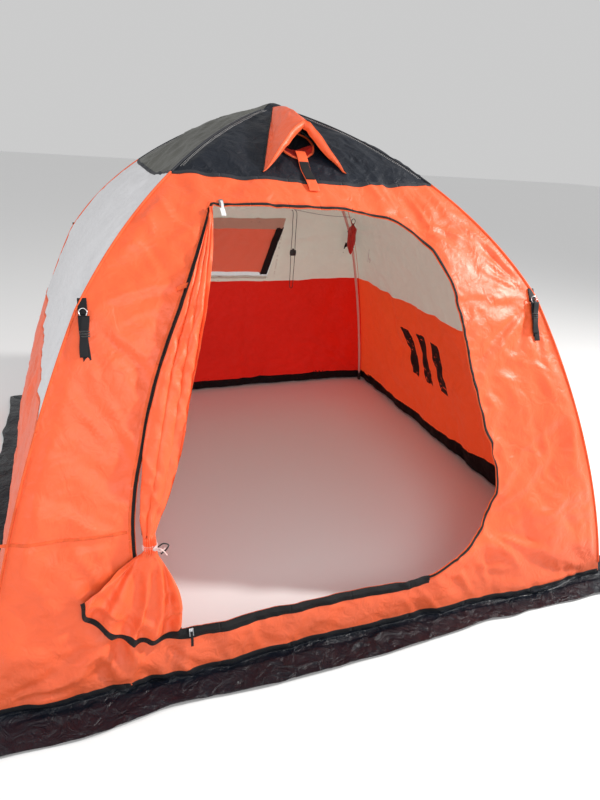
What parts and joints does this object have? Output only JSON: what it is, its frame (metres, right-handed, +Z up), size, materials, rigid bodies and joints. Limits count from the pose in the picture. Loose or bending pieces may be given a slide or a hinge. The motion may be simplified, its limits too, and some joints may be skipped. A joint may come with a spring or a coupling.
{
  "type": "ice fishing shelter",
  "caption": "Pop-up ice fishing tent on an umbrella frame of hinged ribs, with a tied-back front door, roof vent, window and ground skirt.",
  "frame": {"origin": "centre of the base on the ice, under the hub", "axes": "+Z up; -Y points out of the front wall that holds the door; +X to the right of someone facing +Y, looking in at the door"},
  "size_m": [2.22, 2.22, 1.488],
  "materials": {
    "orange_cloth": "coated ripstop polyester",
    "white_cloth": "coated polyester",
    "black_cloth": "coated polyester",
    "red_cloth": "coated polyester",
    "black_webbing": "woven webbing and braided cord",
    "zip_tape": "zip tape and coil",
    "zip_metal": "die cast",
    "clear_film": "frosted flexible film",
    "cord_light": "braided cord",
    "cord_black": "braided cord",
    "black_plastic": "moulded",
    "hub_plastic": "glass filled nylon",
    "socket_plastic": "glass filled nylon",
    "pole_fibreglass": "fibreglass rod",
    "steel": "zinc plated",
    "rubber_tip": "moulded rubber"
  },
  "bodies": {
    "root": {"hub_body": "hub_plastic", "hub_cap": "hub_plastic", "hub_pins": "steel", "hub_screws": "steel", "wall_front": "orange_cloth", "wall_left_upper": "white_cloth", "wall_right_upper": "white_cloth", "wall_back_upper": "white_cloth", "wall_left_lower": "orange_cloth", "wall_right_lower": "orange_cloth", "wall_back_lower": "orange_cloth", "roof_front": "black_cloth", "roof_left": "black_cloth", "roof_right": "black_cloth", "roof_back": "black_cloth", "ground_skirt": "black_cloth", "door_zip": "zip_tape", "sill_zip": "zip_tape", "door_flap": "orange_cloth", "flap_tie": "cord_light", "window_film": "clear_film", "vent_hood": "orange_cloth", "window_cord": "cord_black"},
    "rib_upper_fr": {"hub_ferrule_fr": "socket_plastic", "upper_pole_fr": "pole_fibreglass", "knee_upper_fr": "socket_plastic", "knee_pin_fr": "steel"},
    "rib_lower_fr": {"knee_lower_fr": "socket_plastic", "lower_pole_fr": "pole_fibreglass", "foot_tip_fr": "rubber_tip"},
    "rib_upper_br": {"hub_ferrule_br": "socket_plastic", "upper_pole_br": "pole_fibreglass", "knee_upper_br": "socket_plastic", "knee_pin_br": "steel"},
    "rib_lower_br": {"knee_lower_br": "socket_plastic", "lower_pole_br": "pole_fibreglass", "foot_tip_br": "rubber_tip"},
    "rib_upper_bl": {"hub_ferrule_bl": "socket_plastic", "upper_pole_bl": "pole_fibreglass", "knee_upper_bl": "socket_plastic", "knee_pin_bl": "steel"},
    "rib_lower_bl": {"knee_lower_bl": "socket_plastic", "lower_pole_bl": "pole_fibreglass", "foot_tip_bl": "rubber_tip"},
    "rib_upper_fl": {"hub_ferrule_fl": "socket_plastic", "upper_pole_fl": "pole_fibreglass", "knee_upper_fl": "socket_plastic", "knee_pin_fl": "steel"},
    "rib_lower_fl": {"knee_lower_fl": "socket_plastic", "lower_pole_fl": "pole_fibreglass", "foot_tip_fl": "rubber_tip"},
    "top_slider": {"top_slider": "zip_metal"},
    "sill_slider": {"sill_slider": "zip_metal"},
    "vent_strap": {"vent_strap": "orange_cloth"},
    "cord_lock": {"cord_lock": "black_plastic"},
    "gear_bag": {"gear_bag": "red_cloth"},
    "guy_bundle_fl": {"guy_bundle_fl": "black_webbing"},
    "guy_bundle_fr": {"guy_bundle_fr": "black_webbing"},
    "guy_bundle_br": {"guy_bundle_br": "black_webbing"},
    "guy_bundle_bl": {"guy_bundle_bl": "black_webbing"}
  },
  "joints": [
    {"name": "frame_fold", "type": "hinge", "parent": "root", "child": "rib_upper_fr", "pos_m": [0.02546, -0.02546, 1.442], "axis": [0.7071, 0.7071, 0], "range_deg": [0, 56], "deforming": ["wall_front", "wall_left_upper", "wall_right_upper", "wall_back_upper", "wall_left_lower", "wall_right_lower", "wall_back_lower", "roof_front", "roof_left", "roof_right", "roof_back", "ground_skirt", "door_zip", "sill_zip", "door_flap", "flap_tie", "window_film", "vent_hood", "window_cord"]},
    {"name": "knee_hinge_fr", "type": "hinge", "parent": "rib_upper_fr", "child": "rib_lower_fr", "pos_m": [0.68715, -0.68715, 0.95097], "axis": [-0.7071, -0.7071, 0], "range_deg": [0, 196]},
    {"name": "hub_hinge_br", "type": "hinge", "parent": "root", "child": "rib_upper_br", "pos_m": [0.02546, 0.02546, 1.442], "axis": [-0.7071, 0.7071, 0], "range_deg": [0, 56]},
    {"name": "knee_hinge_br", "type": "hinge", "parent": "rib_upper_br", "child": "rib_lower_br", "pos_m": [0.68715, 0.68715, 0.95097], "axis": [0.7071, -0.7071, 0], "range_deg": [0, 196]},
    {"name": "hub_hinge_bl", "type": "hinge", "parent": "root", "child": "rib_upper_bl", "pos_m": [-0.02546, 0.02546, 1.442], "axis": [-0.7071, -0.7071, 0], "range_deg": [0, 56]},
    {"name": "knee_hinge_bl", "type": "hinge", "parent": "rib_upper_bl", "child": "rib_lower_bl", "pos_m": [-0.68715, 0.68715, 0.95097], "axis": [0.7071, 0.7071, 0], "range_deg": [0, 196]},
    {"name": "hub_hinge_fl", "type": "hinge", "parent": "root", "child": "rib_upper_fl", "pos_m": [-0.02546, -0.02546, 1.442], "axis": [0.7071, -0.7071, 0], "range_deg": [0, 56]},
    {"name": "knee_hinge_fl", "type": "hinge", "parent": "rib_upper_fl", "child": "rib_lower_fl", "pos_m": [-0.68715, -0.68715, 0.95097], "axis": [-0.7071, 0.7071, 0], "range_deg": [0, 196]},
    {"name": "top_slider_travel", "type": "slide", "parent": "root", "child": "top_slider", "axis": [1, 0, 0], "range_m": [0, 0.35]},
    {"name": "sill_slider_travel", "type": "slide", "parent": "root", "child": "sill_slider", "axis": [1, 0, 0], "range_m": [0, 0.68]},
    {"name": "vent_strap_swing", "type": "hinge", "parent": "root", "child": "vent_strap", "pos_m": [-0.02, -0.36424, 1.336], "axis": [-1, 0, 0], "range_deg": [0, 80]},
    {"name": "cord_lock_travel", "type": "slide", "parent": "root", "child": "cord_lock", "axis": [0, 0, 1], "range_m": [-0.12, 0.12]},
    {"name": "gear_bag_swing", "type": "hinge", "parent": "root", "child": "gear_bag", "pos_m": [0.61, 0.53, 1.056], "axis": [0, 1, 0], "range_deg": [-20, 20]},
    {"name": "guy_bundle_swing_fl", "type": "hinge", "parent": "root", "child": "guy_bundle_fl", "pos_m": [-0.684, -0.71304, 0.96], "axis": [-1, 0, 0], "range_deg": [0, 70]},
    {"name": "guy_bundle_swing_fr", "type": "hinge", "parent": "root", "child": "guy_bundle_fr", "pos_m": [0.684, -0.71304, 0.96], "axis": [-1, 0, 0], "range_deg": [0, 70]},
    {"name": "guy_bundle_swing_br", "type": "hinge", "parent": "root", "child": "guy_bundle_br", "pos_m": [0.684, 0.71304, 0.96], "axis": [1, 0, 0], "range_deg": [0, 70]},
    {"name": "guy_bundle_swing_bl", "type": "hinge", "parent": "root", "child": "guy_bundle_bl", "pos_m": [-0.684, 0.71304, 0.96], "axis": [1, 0, 0], "range_deg": [0, 70]}
  ],
  "couplings": [
    {"joint": "knee_hinge_fr", "follows": "frame_fold", "ratio": 3.5},
    {"joint": "hub_hinge_br", "follows": "frame_fold", "ratio": 1},
    {"joint": "knee_hinge_br", "follows": "frame_fold", "ratio": 3.5},
    {"joint": "hub_hinge_bl", "follows": "frame_fold", "ratio": 1},
    {"joint": "knee_hinge_bl", "follows": "frame_fold", "ratio": 3.5},
    {"joint": "hub_hinge_fl", "follows": "frame_fold", "ratio": 1},
    {"joint": "knee_hinge_fl", "follows": "frame_fold", "ratio": 3.5}
  ]
}
